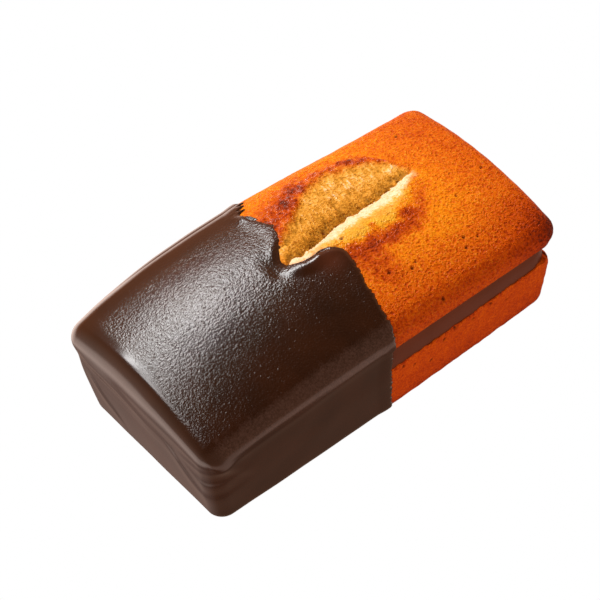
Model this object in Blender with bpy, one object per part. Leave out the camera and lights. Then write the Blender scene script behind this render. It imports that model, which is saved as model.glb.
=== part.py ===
"""A half-dipped financier: two baked layers, a chocolate cream filling between them and a dark chocolate coat
over one half. Units are metres and +Z is up. The origin is under the middle of the whole, +X runs along the
length towards the bare end, and -Y is the long side that shows in front."""

import math

import bmesh
import bpy
import numpy as np
from mathutils import Matrix

# Driving dimensions of the block, measured at its rim. x and y start from its middle, until centre() moves it
LENGTH = 0.0850
WIDTH = 0.0435
RIM_HEIGHT = 0.0223
HALF = np.array([LENGTH / 2, WIDTH / 2])

# Heights of the two cuts that the filling lies between; the upper one arches up along the middle
BASE_TOP = 0.0137
CAKE_CUT = 0.0179
CUT_ARCH = 0.0016

# The crown rises from the corners to the middle of each side, and again to the middle of the top
LONG_SIDE_RISE = 0.0027
END_RISE = 0.0037
CROWN_RISE = 0.0011

# The sides swell a little in plan: the base evenly, the rim more at the back than in front
BASE_SWELL = 0.0006
FRONT_SWELL = 0.0009
BACK_SWELL = 0.0023
END_SWELL = 0.0005

# How far the rise, the rim's swell and the arch lean towards the coated end
RISE_LEAN = 0.64
SWELL_LEAN = 0.65
ARCH_LEAN = 0.44

# Roundings
CORNER_RADIUS = 0.0034
FILLING_CORNER_RADIUS = 0.0055
SHOULDER_DROP = 0.0027
FOOT_RADIUS = 0.0028

# The coat: its thickness, the clear gap under it, and how far it stands proud of the bare cake
COAT_THICKNESS = 0.0009
LIP_THICKNESS = 0.0005
GAP = 0.0003
COAT_PROUD = 0.0001
LIP_PROUD = 0.0003
LIP_CREST = 0.0010
LIP_REACH = 0.0040
RECESS = COAT_THICKNESS + GAP - COAT_PROUD

# Where the coat ends, an edge that bends each piece's cuts along with it over this reach
EDGE_REACH = 0.0300

# Turns, in degrees, at which a rounded edge is cut
ROUNDING_TURNS = (0.0, 17.0, 31.0, 45.0)


def curve_through(stops):
    """A smooth function through (place, value) stops, level beyond the first and the last."""
    places, values = np.array(stops).T
    slopes = np.gradient(values, places)

    def curve(at):
        at = np.clip(at, places[0], places[-1])
        index = np.clip(np.searchsorted(places, at) - 1, 0, len(places) - 2)
        span = places[index + 1] - places[index]
        t = (at - places[index]) / span
        rest = 1.0 - t
        start = values[index] * (1.0 + 2.0 * t) + slopes[index] * span * t
        end = values[index + 1] * (3.0 - 2.0 * t) - slopes[index + 1] * span * rest
        return start * rest**2 + end * t**2

    return curve


def ease(start, end, at):
    """0 before start and 1 after end, with a smooth turn between them."""
    t = np.clip((at - start) / (end - start), 0.0, 1.0)
    return t * t * (3.0 - 2.0 * t)


# How far each side stands in from the rim's outline, by height
cake_inset = curve_through(
    ((0.0, 0.0026), (BASE_TOP, 0.0010), (CAKE_CUT, 0.0009), (0.0196, 0.0004), (RIM_HEIGHT, 0.0))
)
filling_inset = curve_through(((BASE_TOP, 0.0014), (0.0158, 0.0016), (CAKE_CUT, 0.0014)))
coat_inset = curve_through(
    ((0.0, 0.0026), (BASE_TOP, 0.0010), (CAKE_CUT, 0.0008), (0.0196, 0.0004), (RIM_HEIGHT, 0.0))
)

# The coat's edge: x along the top from front to back, and x down either side from the foot up
edge_on_top = curve_through(
    (
        (-0.0212, 0.0017),
        (-0.0160, 0.0024),
        (-0.0125, 0.0032),
        (-0.0062, 0.0050),
        (-0.0038, 0.0052),
        (-0.0022, 0.0040),
        (-0.0006, 0.0014),
        (0.0012, -0.0020),
        (0.0028, -0.0040),
        (0.0046, -0.0038),
        (0.0068, -0.0023),
        (0.0102, -0.0006),
        (0.0130, -0.0012),
        (0.0158, -0.0022),
        (0.0185, -0.0015),
        (0.0212, 0.0004),
    )
)
edge_on_foot = curve_through(
    ((-0.0212, 0.0010), (-0.0080, 0.0026), (0.0050, 0.0006), (0.0212, -0.0004))
)
edge_on_side = curve_through(
    ((0.0, 0.0), (0.0080, -0.0008), (BASE_TOP, -0.0012), (0.0180, -0.0010), (RIM_HEIGHT, 0.0))
)

# The burst along the top: its deepest line, its two widths and its depth, by x
burst_line = curve_through(
    (
        (-0.0140, -0.0034),
        (-0.0105, -0.0020),
        (-0.0070, -0.0002),
        (-0.0040, 0.0012),
        (-0.0003, 0.0016),
        (0.0030, 0.0024),
        (0.0065, 0.0034),
        (0.0105, 0.0043),
        (0.0145, 0.0045),
        (0.0190, 0.0042),
        (0.0230, 0.0041),
        (0.0290, 0.0046),
    )
)
burst_front = curve_through(
    (
        (-0.0140, 0.0028),
        (-0.0040, 0.0026),
        (0.0018, 0.0032),
        (0.0064, 0.0050),
        (0.0120, 0.0062),
        (0.0176, 0.0064),
        (0.0208, 0.0056),
        (0.0240, 0.0030),
        (0.0290, 0.0008),
    )
)
burst_back = curve_through(
    (
        (-0.0140, 0.0030),
        (-0.0040, 0.0048),
        (-0.0010, 0.0061),
        (0.0030, 0.0078),
        (0.0074, 0.0096),
        (0.0125, 0.0111),
        (0.0150, 0.0114),
        (0.0175, 0.0108),
        (0.0205, 0.0098),
        (0.0230, 0.0080),
        (0.0255, 0.0056),
        (0.0275, 0.0024),
        (0.0290, 0.0010),
    )
)
burst_depth = curve_through(
    (
        (-0.0140, 0.0),
        (-0.0090, 0.0002),
        (-0.0045, 0.0009),
        (0.0005, 0.0026),
        (0.0080, 0.0037),
        (0.0180, 0.0036),
        (0.0235, 0.0022),
        (0.0290, 0.0),
    )
)
DEEPEST = 0.0038
WALL_BELLY = 0.6
SLOPE_HOLLOW = 1.5
TORN_STEP = 0.76
LIP_SWELL = 0.0007
LIP_WIDTH = 0.0022
CRUST_SWELL = 0.0004
CRUST_WIDTH = 0.0012

# Soft rings that the coat leaves round its front corner
RING_HEIGHT = 0.0196
RING_PITCH = 0.0048
RING_DEPTH = 0.0003
RING_LOWEST = 0.0060
RING_REACH = 0.0120


def side_shares(x, y):
    """How far out x and y are, as shares of the half length and the half width."""
    return np.clip(x / HALF[0], -1.0, 1.0), np.clip(y / HALF[1], -1.0, 1.0)


def hump(share, lean=0.0):
    """0 at both ends of a side and 1 in its middle, leaning towards the coated end."""
    return (1.0 - share**2) * (1.0 - lean * share)


def crown(x, y):
    """The baked top's rise above the rim's corners."""
    along, across = side_shares(x, y)
    long_rise = LONG_SIDE_RISE * hump(along, RISE_LEAN)
    return long_rise + END_RISE * hump(across) + CROWN_RISE * hump(along) * hump(across)


def burst(x, y):
    """The open burst in the top: a short steep front wall, a long back slope and a puffed lip beside each."""
    off_line = y - burst_line(x)
    front_share = np.clip(-off_line / burst_front(x), 0.0, 1.0)
    back_share = np.clip(off_line / burst_back(x), 0.0, 1.0)
    front_wall = TORN_STEP * (1.0 - front_share) ** 2 * (1.0 + WALL_BELLY * front_share)
    back_slope = (1.0 - back_share) ** SLOPE_HOLLOW
    hollow = burst_depth(x) * np.where(off_line < 0.0, front_wall, back_slope)
    open_share = burst_depth(x) / DEEPEST
    lip = LIP_SWELL * open_share * np.exp(-(((off_line + burst_front(x)) / LIP_WIDTH) ** 2))
    crust = CRUST_SWELL * open_share * np.exp(-(((off_line - burst_back(x)) / CRUST_WIDTH) ** 2))
    return lip + crust - hollow


def coat_edge(y, z):
    """The x at which the coat ends, for a place on the block's outline."""
    height = ease(0.0, RIM_HEIGHT, z)
    side = edge_on_side(z) * np.clip(np.abs(y) / HALF[1], 0.0, 1.0)
    return edge_on_foot(y) * (1.0 - height) + edge_on_top(y) * height + side


def rounded(points, corner_radius):
    """Points on a sharp box, moved onto the box with its corners, shoulder and foot rounded."""
    high = np.array([HALF[0] - corner_radius, HALF[1] - corner_radius, RIM_HEIGHT - SHOULDER_DROP])
    low = np.array([-high[0], -high[1], FOOT_RADIUS])
    core = np.clip(points, low, high)
    radii = np.full(points.shape, corner_radius)
    radii[:, 2] = np.where(points[:, 2] > core[:, 2], SHOULDER_DROP, FOOT_RADIUS)
    out = (points - core) / radii
    return core + radii * out / np.linalg.norm(out, axis=1, keepdims=True)


def block(points, inset, corner_radius=CORNER_RADIUS):
    """Points on a sharp box, moved onto the baked block; inset gives how far in its sides stand by height."""
    x, y, z = rounded(points, corner_radius).T
    x = x + coat_edge(y, z) * np.clip(1.0 - (x / EDGE_REACH) ** 2, 0.0, 1.0) ** 2
    along, across = side_shares(x, y)
    height = np.clip((z - BASE_TOP) / (RIM_HEIGHT - BASE_TOP), 0.0, 1.0)
    rim_swell = np.where(y < 0.0, FRONT_SWELL, BACK_SWELL) * hump(along, SWELL_LEAN)
    swell = BASE_SWELL * hump(along) * (1.0 - height) + rim_swell * height
    x = x - along * inset(z) + along * END_SWELL * height * hump(across)
    y = y - across * inset(z) + across * swell
    lift = np.clip((z - CAKE_CUT) / (RIM_HEIGHT - CAKE_CUT), 0.0, 1.0)
    bend = np.clip((z - BASE_TOP) / (CAKE_CUT - BASE_TOP), 0.0, 1.0) * (1.0 - lift)
    on_top = ease(RIM_HEIGHT - SHOULDER_DROP, RIM_HEIGHT, z)
    rise = lift * crown(x, y) + bend * CUT_ARCH * hump(along, ARCH_LEAN) + on_top * burst(x, y)
    return np.column_stack((x, y, z + rise))


def rounding_cuts(core, radius):
    """Cuts across a rounded edge, from its core out to the sharp box's edge."""
    return [core + radius * math.tan(math.radians(turn)) for turn in ROUNDING_TURNS]


def cuts(low_core, low_radius, between, high_core, high_radius):
    """All cuts along one axis: a rounding, the ones between, and a rounding."""
    first = rounding_cuts(low_core, -low_radius) if low_radius else [low_core]
    last = rounding_cuts(high_core, high_radius) if high_radius else [high_core]
    return first[::-1] + list(between) + last


def even(low, high, count):
    """count evenly spaced places between low and high, both left out."""
    return list(np.linspace(low, high, count + 2)[1:-1])


def box_grid(xs, ys, zs, left_out=(), plain=()):
    """The corners and the outward faces of a box cut at xs, ys and zs. left_out names the faces it lacks, and
    plain the top or bottom that is made of strips right across."""
    index = {}

    def corner(i, j, k):
        return index.setdefault((i, j, k), len(index))

    last_x, last_y, last_z = len(xs) - 1, len(ys) - 1, len(zs) - 1
    faces = {
        "top": (last_x, last_y, lambda a, b: corner(a, b, last_z)),
        "bottom": (last_y, last_x, lambda a, b: corner(b, a, 0)),
        "right": (last_y, last_z, lambda a, b: corner(last_x, a, b)),
        "left": (last_z, last_y, lambda a, b: corner(0, b, a)),
        "back": (last_z, last_x, lambda a, b: corner(b, last_y, a)),
        "front": (last_x, last_z, lambda a, b: corner(a, 0, b)),
    }
    made = []
    for name, (count_a, count_b, at) in faces.items():
        if name in left_out or name in plain:
            continue
        for a in range(count_a):
            for b in range(count_b):
                made.append([at(a, b), at(a + 1, b), at(a + 1, b + 1)])
                made.append([at(a, b), at(a + 1, b + 1), at(a, b + 1)])
    if "top" in plain:
        made.extend(strips(corner, last_x, last_y, last_z))
    if "bottom" in plain:
        made.extend(strip[::-1] for strip in strips(corner, last_x, last_y, 0))
    points = np.array([(xs[i], ys[j], zs[k]) for i, j, k in index])
    return points, made


def strips(corner, last_x, last_y, k):
    """Upward faces that span the level k from front to back, with one larger face at either end."""
    made = [[corner(i, 0, k), corner(i + 1, 0, k), corner(i + 1, last_y, k), corner(i, last_y, k)]
            for i in range(1, last_x - 1)]
    left_end = [corner(0, j, k) for j in range(last_y, 0, -1)]
    right_end = [corner(last_x, j, k) for j in range(last_y + 1)]
    made.append([corner(0, 0, k), corner(1, 0, k), corner(1, last_y, k)] + left_end)
    made.append([corner(last_x - 1, 0, k)] + right_end + [corner(last_x - 1, last_y, k)])
    return made


def mesh_of(points, faces):
    """A bmesh of the points and faces."""
    mesh = bmesh.new()
    corners = [mesh.verts.new(point) for point in points]
    for face in faces:
        mesh.faces.new([corners[i] for i in face])
    mesh.normal_update()
    return mesh


def outward(points, faces):
    """The outward direction at each point of the surface."""
    mesh = mesh_of(points, faces)
    normals = np.array([corner.normal for corner in mesh.verts])
    mesh.free()
    return normals


def node_of(name, mesh, look):
    """Turns the bmesh into the named object."""
    data = bpy.data.meshes.new(name)
    mesh.to_mesh(data)
    mesh.free()
    data.shade_smooth()
    data.set_sharp_from_angle(angle=math.radians(40.0))
    data.materials.append(look)
    node = bpy.data.objects.new(name, data)
    bpy.context.scene.collection.objects.link(node)
    return node


def finish_of(name, color, roughness):
    """A material with one colour and one roughness."""
    look = bpy.data.materials.new(name)
    look.use_nodes = True
    shader = look.node_tree.nodes["Principled BSDF"]
    shader.inputs["Base Color"].default_value = (*color, 1.0)
    shader.inputs["Roughness"].default_value = roughness
    shader.inputs["Metallic"].default_value = 0.0
    return look


# Cuts that the pieces share, closer together where the top bends more. Along x, 0 is the coat's edge
END_CORE = HALF[0] - CORNER_RADIUS
SIDE_CORE = HALF[1] - CORNER_RADIUS
COATED_CUTS = [-0.0300, -0.0200, -0.0130, -0.0090, -0.0060, -0.0035, -0.0018, -0.0006, 0.0]
STEP_CUTS = [0.0005, 0.0010]
BARE_CUTS = even(STEP_CUTS[-1], 0.0270, 14) + [0.0270, 0.0300, 0.0350]
INNER_Y = [
    -0.0135,
    -0.0090,
    -0.0058,
    -0.0036,
    -0.0020,
    -0.0006,
    0.0008,
    0.0021,
    0.0035,
    0.0050,
    0.0070,
    0.0095,
    0.0120,
    0.0148,
    0.0168,
]
CUTS_Y = cuts(-SIDE_CORE, CORNER_RADIUS, INNER_Y, SIDE_CORE, CORNER_RADIUS)
CAKE_CUTS_X = cuts(
    -END_CORE, CORNER_RADIUS, COATED_CUTS[:-1] + STEP_CUTS + BARE_CUTS, END_CORE, CORNER_RADIUS
)
LOW_ON_TOP_PIECE = 0.0187
BASE_CUTS_Z = [0.0062, 0.0098, 0.0128, BASE_TOP]
FLAT_ENOUGH = math.radians(0.3)


def under_coat(box, shaped, faces, level):
    """Moves what the coat covers inwards by the recess, past a small step just outside the coat's edge.
    Points marked level lie on a cut, which only shrinks in plan."""
    normals = outward(shaped, faces)
    normals[level, 2] = 0.0
    normals /= np.linalg.norm(normals, axis=1, keepdims=True)
    depth = RECESS * (1.0 - ease(STEP_CUTS[0], STEP_CUTS[1], box[:, 0]))
    return shaped - normals * depth[:, None]


def cake_top():
    """The upper baked layer: an arched cut below, the crown and the burst above."""
    zs = [CAKE_CUT, LOW_ON_TOP_PIECE] + rounding_cuts(RIM_HEIGHT - SHOULDER_DROP, SHOULDER_DROP)
    box, faces = box_grid(CAKE_CUTS_X, CUTS_Y, zs, plain=("bottom",))
    points = under_coat(box, block(box, cake_inset), faces, box[:, 2] == CAKE_CUT)
    look = finish_of("baked_crust", (0.62, 0.22, 0.035), 0.6)
    return node_of("cake_top", mesh_of(points, faces), look)


def filling():
    """The cream between the layers, a little inside their edges and rounder at the corners."""
    low, high = BASE_TOP + GAP, CAKE_CUT - GAP
    end_core = HALF[0] - FILLING_CORNER_RADIUS
    side_core = HALF[1] - FILLING_CORNER_RADIUS
    between_x = COATED_CUTS[:-1] + STEP_CUTS + even(STEP_CUTS[-1], end_core, 6)
    xs = cuts(-end_core, FILLING_CORNER_RADIUS, between_x, end_core, FILLING_CORNER_RADIUS)
    between_y = even(-side_core, side_core, 4)
    ys = cuts(-side_core, FILLING_CORNER_RADIUS, between_y, side_core, FILLING_CORNER_RADIUS)
    box, faces = box_grid(xs, ys, [low, (low + high) / 2, high], plain=("top", "bottom"))
    shaped = block(box, filling_inset, FILLING_CORNER_RADIUS)
    points = under_coat(box, shaped, faces, np.ones(len(box), bool))
    look = finish_of("chocolate_cream", (0.13, 0.04, 0.018), 0.35)
    return node_of("filling", mesh_of(points, faces), look)


def cake_base():
    """The lower baked layer: tapered sides, a rounded foot and a level cut above."""
    zs = rounding_cuts(FOOT_RADIUS, -FOOT_RADIUS)[::-1] + BASE_CUTS_Z
    box, faces = box_grid(CAKE_CUTS_X, CUTS_Y, zs, plain=("top",))
    points = under_coat(box, block(box, cake_inset), faces, box[:, 2] == BASE_TOP)
    mesh = mesh_of(points, faces)
    bmesh.ops.dissolve_limit(mesh, angle_limit=FLAT_ENOUGH, verts=mesh.verts[:], edges=mesh.edges[:])
    return node_of("cake_base", mesh, finish_of("baked_side", (0.45, 0.12, 0.012), 0.65))


def corner_rings(points):
    """How far the soft rings round the coat's front corner stand out or in."""
    x, y, z = points.T
    off_corner = np.hypot(x + HALF[0], y + HALF[1])
    near = np.exp(-((off_corner / RING_REACH) ** 2))
    tall = ease(RING_LOWEST, RING_LOWEST + RING_PITCH / 2, z) * (1.0 - ease(RING_HEIGHT, RIM_HEIGHT, z))
    return RING_DEPTH * near * tall * np.cos(2.0 * math.pi * (z - RING_HEIGHT) / RING_PITCH)


def coating():
    """The dark coat: a thin cup over the left half, with a rounded lip along its edge."""
    side_zs = even(FOOT_RADIUS, RIM_HEIGHT - SHOULDER_DROP, 11)
    zs = cuts(FOOT_RADIUS, FOOT_RADIUS, side_zs, RIM_HEIGHT - SHOULDER_DROP, SHOULDER_DROP)
    end_xs = rounding_cuts(-END_CORE, -CORNER_RADIUS)[::-1]
    outer_xs = end_xs + even(-END_CORE, COATED_CUTS[2], 6) + COATED_CUTS[2:]
    inner_xs = end_xs + COATED_CUTS
    outer_box, outer_triangles = box_grid(outer_xs, CUTS_Y, zs, left_out=("right",))
    inner_box, inner_triangles = box_grid(inner_xs, CUTS_Y, zs, left_out=("right",))
    outer = block(outer_box, coat_inset)
    inner = block(inner_box, coat_inset)
    to_edge = -outer_box[:, 0]
    proud = COAT_PROUD + (LIP_PROUD - COAT_PROUD) * (1.0 - ease(LIP_CREST, LIP_REACH, to_edge))
    proud = proud + corner_rings(outer)
    proud = np.where(to_edge < GAP, LIP_THICKNESS - RECESS + GAP, proud)
    outer = outer + outward(outer, outer_triangles) * proud[:, None]
    outer[:, 2] = np.maximum(outer[:, 2], 0.0)
    inner = inner - outward(inner, inner_triangles) * (COAT_THICKNESS - COAT_PROUD)
    mesh = mesh_of(outer, outer_triangles)
    shift = len(mesh.verts)
    for point in inner:
        mesh.verts.new(point)
    mesh.verts.ensure_lookup_table()
    mesh.verts.index_update()
    for triangle in inner_triangles:
        mesh.faces.new([mesh.verts[shift + i] for i in reversed(triangle)])
    join_lip(mesh, outer_box, inner_box, shift)
    return node_of("coating", mesh, finish_of("dark_chocolate", (0.035, 0.012, 0.006), 0.3))


def join_lip(mesh, outer_box, inner_box, shift):
    """Joins the outer and inner skins along the coat's edge, where both have the same places."""
    partner = {}
    for i, (x, y, z) in enumerate(inner_box):
        if x == 0.0:
            partner[(y, z)] = mesh.verts[shift + i]
    for edge in [edge for edge in mesh.edges if edge.is_boundary]:
        first, second = edge.link_loops[0].vert, edge.link_loops[0].link_loop_next.vert
        if first.index < shift:
            far_first = partner[tuple(outer_box[first.index][1:])]
            far_second = partner[tuple(outer_box[second.index][1:])]
            mesh.faces.new((second, first, far_first, far_second))


def centre(nodes):
    """Moves the pieces together, so that the origin is under the middle of their box."""
    places = np.array([corner.co for node in nodes for corner in node.data.vertices])
    middle = (places.min(axis=0) + places.max(axis=0)) / 2
    for node in nodes:
        node.data.transform(Matrix.Translation((-middle[0], -middle[1], 0.0)))


def main():
    for old in list(bpy.data.objects):
        bpy.data.objects.remove(old)
    centre([cake_base(), filling(), cake_top(), coating()])


main()
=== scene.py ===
import math

import bmesh
import bpy
import numpy as np
from mathutils import Matrix, Quaternion, Vector, noise


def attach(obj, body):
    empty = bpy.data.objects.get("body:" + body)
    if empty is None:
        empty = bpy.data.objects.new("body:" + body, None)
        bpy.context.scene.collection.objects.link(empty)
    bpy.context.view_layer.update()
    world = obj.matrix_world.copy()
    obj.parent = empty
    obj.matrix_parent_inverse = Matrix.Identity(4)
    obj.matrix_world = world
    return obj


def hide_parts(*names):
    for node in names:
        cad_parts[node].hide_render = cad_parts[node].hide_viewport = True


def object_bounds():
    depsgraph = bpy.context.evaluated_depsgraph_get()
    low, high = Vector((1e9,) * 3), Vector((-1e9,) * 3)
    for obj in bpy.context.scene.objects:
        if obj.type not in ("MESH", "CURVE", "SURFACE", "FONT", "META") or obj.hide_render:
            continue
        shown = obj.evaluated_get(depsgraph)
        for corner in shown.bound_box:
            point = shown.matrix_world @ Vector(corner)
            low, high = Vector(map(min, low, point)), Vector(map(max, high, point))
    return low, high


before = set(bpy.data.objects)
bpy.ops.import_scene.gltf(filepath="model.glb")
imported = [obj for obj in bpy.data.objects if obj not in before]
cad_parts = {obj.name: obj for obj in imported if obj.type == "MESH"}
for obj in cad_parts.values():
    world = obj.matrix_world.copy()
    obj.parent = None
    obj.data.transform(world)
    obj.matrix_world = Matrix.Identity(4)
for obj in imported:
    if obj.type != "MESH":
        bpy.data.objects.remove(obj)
cad_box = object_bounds()

# Sizes of the block, as in the part's source. x and y start from the block's middle, which lies here
BLOCK_MIDDLE = np.array([0.000043, -0.000555, 0.0])
LENGTH = 0.0850
WIDTH = 0.0435
RIM_HEIGHT = 0.0223
HALF = np.array([LENGTH / 2, WIDTH / 2])
BASE_TOP = 0.0137
BASE_END_ROUND = 0.0026
CAKE_CUT = 0.0179
CUT_ARCH = 0.0016
LONG_SIDE_RISE = 0.0027
END_RISE = 0.0037
CROWN_RISE = 0.0011
BASE_SWELL = 0.0006
FRONT_SWELL = 0.0009
BACK_SWELL = 0.0023
END_SWELL = 0.0005
RISE_LEAN = 0.64
SWELL_LEAN = 0.65
ARCH_LEAN = 0.44
CORNER_RADIUS = 0.0034
FILLING_CORNER_RADIUS = 0.0055
SHOULDER_DROP = 0.0027
FOOT_RADIUS = 0.0028
COAT_THICKNESS = 0.0009
COAT_PROUD = 0.0001
LIP_PROUD = 0.0003
DEEPEST = 0.0038
WALL_BELLY = 0.6
SLOPE_HOLLOW = 1.5
TORN_STEP = 0.76
LIP_SWELL = 0.0007
LIP_WIDTH = 0.0022
CRUST_SWELL = 0.0004
CRUST_WIDTH = 0.0012

# How finely each piece's surface is cut
CRUST_STEP = 0.00020
BASE_STEP = 0.00026
FILLING_STEP = 0.00040
COAT_STEP = 0.00022
HIDDEN_STEP = 0.0040

# Hidden surfaces are coarse as far as here, and the coat's sides bend towards its edge within this reach
HIDDEN_TO = -0.0080
# Where the side of the coat's nose lies, and how far it leans back over the notch
NOSE_SIDE = -0.0011
NOSE_LEAN = 0.22
EDGE_BEND = 0.0160
# How far apart the comb-like teeth are at the coat's back corner, and how long
TOOTH = 0.00115
TOOTH_LENGTH = 0.0017
# How wide the coat's lip rounds over at the edge, how far it tucks in there, and what the nose adds to both
LIP_ROUND = 0.0009
LIP_TUCK = 0.0003
NOSE_LIP_ROUND = 0.0006
NOSE_LIP_PROUD = 0.00030
# How deep the coat sinks behind its notch, and how high the lump on its nose is
NOTCH_SINK = 0.00050
NOSE_LUMP = 0.00040
# How thick the coat is at its very edge, inside its outline
EDGE_DEPTH = 0.0004
# How far the cake lies below its outline under the coat
UNDER_COAT = 0.0012
# Fine pieces may stand this far out of the CAD box
BOX_SLACK = 0.0003


def curve_through(stops):
    """A smooth function through (place, value) stops, level beyond the first and the last."""
    places, values = np.array(stops).T
    slopes = np.gradient(values, places)

    def curve(at):
        at = np.clip(at, places[0], places[-1])
        index = np.clip(np.searchsorted(places, at) - 1, 0, len(places) - 2)
        span = places[index + 1] - places[index]
        t = (at - places[index]) / span
        rest = 1.0 - t
        start = values[index] * (1.0 + 2.0 * t) + slopes[index] * span * t
        end = values[index + 1] * (3.0 - 2.0 * t) - slopes[index + 1] * span * rest
        return start * rest**2 + end * t**2

    return curve


def ease(start, end, at):
    """0 before start and 1 after end, with a smooth turn between them."""
    t = np.clip((at - start) / (end - start), 0.0, 1.0)
    return t * t * (3.0 - 2.0 * t)


def bell(at, middle, width):
    """1 at the middle, falling smoothly away on both sides."""
    return np.exp(-(((at - middle) / width) ** 2))


# How far each side stands in from the rim's outline, by height
cake_inset = curve_through(
    ((0.0, 0.0026), (BASE_TOP, 0.0010), (CAKE_CUT, 0.0009), (0.0196, 0.0004), (RIM_HEIGHT, 0.0))
)
filling_inset = curve_through(((BASE_TOP, 0.0014), (0.0158, 0.0016), (CAKE_CUT, 0.0014)))
coat_inset = curve_through(
    ((0.0, 0.0026), (BASE_TOP, 0.0010), (CAKE_CUT, 0.0008), (0.0196, 0.0004), (RIM_HEIGHT, 0.0))
)
coat_side_inset = curve_through(
    ((0.0, 0.0026), (BASE_TOP, 0.0008), (CAKE_CUT, 0.0003), (0.0196, 0.0001), (RIM_HEIGHT, 0.0))
)

# The coat's edge: x along the top from front to back, and x down either side from the foot up
edge_on_top = curve_through(
    (
        (-0.0212, 0.0017),
        (-0.0160, 0.0026),
        (-0.0125, 0.0034),
        (-0.0098, 0.0040),
        (-0.0074, 0.0045),
        (-0.0052, 0.0051),
        (-0.0040, 0.0050),
        (-0.0031, 0.0045),
        (-0.0023, 0.0037),
        (-0.0017, 0.0025),
        (-0.0013, 0.0008),
        (-0.0011, -0.0010),
        (-0.0009, -0.0024),
        (-0.0005, -0.0034),
        (0.0001, -0.0042),
        (0.0008, -0.0048),
        (0.0018, -0.0047),
        (0.0034, -0.0036),
        (0.0050, -0.0024),
        (0.0060, -0.0015),
        (0.0080, -0.0007),
        (0.0102, -0.0002),
        (0.0116, -0.0009),
        (0.0140, -0.0017),
        (0.0156, -0.0026),
        (0.0172, -0.0024),
        (0.0192, -0.0009),
        (0.0212, 0.0004),
    )
)
edge_on_foot = curve_through(
    ((-0.0212, 0.0010), (-0.0080, 0.0026), (0.0050, 0.0006), (0.0212, -0.0004))
)
edge_on_side = curve_through(
    ((0.0, 0.0), (0.0080, -0.0008), (BASE_TOP, -0.0012), (0.0180, -0.0010), (RIM_HEIGHT, 0.0))
)

# The burst along the top: its deepest line, its two widths and its depth, by x
burst_line = curve_through(
    (
        (-0.0140, -0.0034),
        (-0.0105, -0.0020),
        (-0.0070, -0.0002),
        (-0.0040, 0.0012),
        (-0.0003, 0.0016),
        (0.0030, 0.0024),
        (0.0065, 0.0034),
        (0.0105, 0.0043),
        (0.0145, 0.0045),
        (0.0190, 0.0044),
        (0.0230, 0.0045),
        (0.0290, 0.0046),
    )
)
burst_front = curve_through(
    (
        (-0.0140, 0.0028),
        (-0.0040, 0.0026),
        (0.0018, 0.0032),
        (0.0064, 0.0050),
        (0.0120, 0.0062),
        (0.0176, 0.0064),
        (0.0208, 0.0056),
        (0.0240, 0.0030),
        (0.0290, 0.0008),
    )
)
burst_back = curve_through(
    (
        (-0.0140, 0.0030),
        (-0.0040, 0.0048),
        (-0.0010, 0.0061),
        (0.0030, 0.0078),
        (0.0074, 0.0096),
        (0.0125, 0.0111),
        (0.0150, 0.0114),
        (0.0175, 0.0108),
        (0.0205, 0.0098),
        (0.0230, 0.0080),
        (0.0255, 0.0056),
        (0.0275, 0.0024),
        (0.0290, 0.0010),
    )
)
burst_depth = curve_through(
    (
        (-0.0140, 0.0),
        (-0.0090, 0.0002),
        (-0.0045, 0.0009),
        (0.0005, 0.0026),
        (0.0080, 0.0037),
        (0.0180, 0.0036),
        (0.0235, 0.0022),
        (0.0290, 0.0),
    )
)


def side_shares(x, y):
    """How far out x and y are, as shares of the half length and the half width."""
    return np.clip(x / HALF[0], -1.0, 1.0), np.clip(y / HALF[1], -1.0, 1.0)


def hump(share, lean=0.0):
    """0 at both ends of a side and 1 in its middle, leaning towards the coated end."""
    return (1.0 - share**2) * (1.0 - lean * share)


def crown(x, y):
    """The baked top's rise above the rim's corners."""
    along, across = side_shares(x, y)
    long_rise = LONG_SIDE_RISE * hump(along, RISE_LEAN)
    return long_rise + END_RISE * hump(across) + CROWN_RISE * hump(along) * hump(across)


def burst(x, y, wander=0.0):
    """The open burst in the top: a short front wall with a torn edge, a long back slope, and a puffed lip
    beside each. wander moves the torn edge."""
    off_line = y - burst_line(x) - wander
    front_share = np.clip(-off_line / burst_front(x), 0.0, 1.0)
    back_share = np.clip(off_line / burst_back(x), 0.0, 1.0)
    front_wall = TORN_STEP * (1.0 - front_share) ** 2 * (1.0 + WALL_BELLY * front_share)
    back_slope = (1.0 - back_share) ** SLOPE_HOLLOW
    hollow = burst_depth(x) * np.where(off_line < 0.0, front_wall, back_slope)
    open_share = burst_depth(x) / DEEPEST
    lip = LIP_SWELL * open_share * np.exp(-(((off_line + burst_front(x)) / LIP_WIDTH) ** 2))
    crust = CRUST_SWELL * open_share * np.exp(-(((off_line - burst_back(x)) / CRUST_WIDTH) ** 2))
    return lip + crust - hollow


def coat_edge(y, z):
    """The x at which the coat ends, for a place on the block's outline."""
    height = ease(0.0, RIM_HEIGHT, z)
    side = edge_on_side(z) * np.clip(np.abs(y) / HALF[1], 0.0, 1.0)
    return edge_on_foot(y) * (1.0 - height) + edge_on_top(y) * height + side


def rounded(points, corner_radius):
    """Points on a sharp box, moved onto the box with its corners, shoulder and foot rounded."""
    high = np.array([HALF[0] - corner_radius, HALF[1] - corner_radius, RIM_HEIGHT - SHOULDER_DROP])
    low = np.array([-high[0], -high[1], FOOT_RADIUS])
    core = np.clip(points, low, high)
    radii = np.full(points.shape, corner_radius)
    radii[:, 2] = np.where(points[:, 2] > core[:, 2], SHOULDER_DROP, FOOT_RADIUS)
    out = (points - core) / radii
    return core + radii * out / np.linalg.norm(out, axis=1, keepdims=True)


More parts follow.
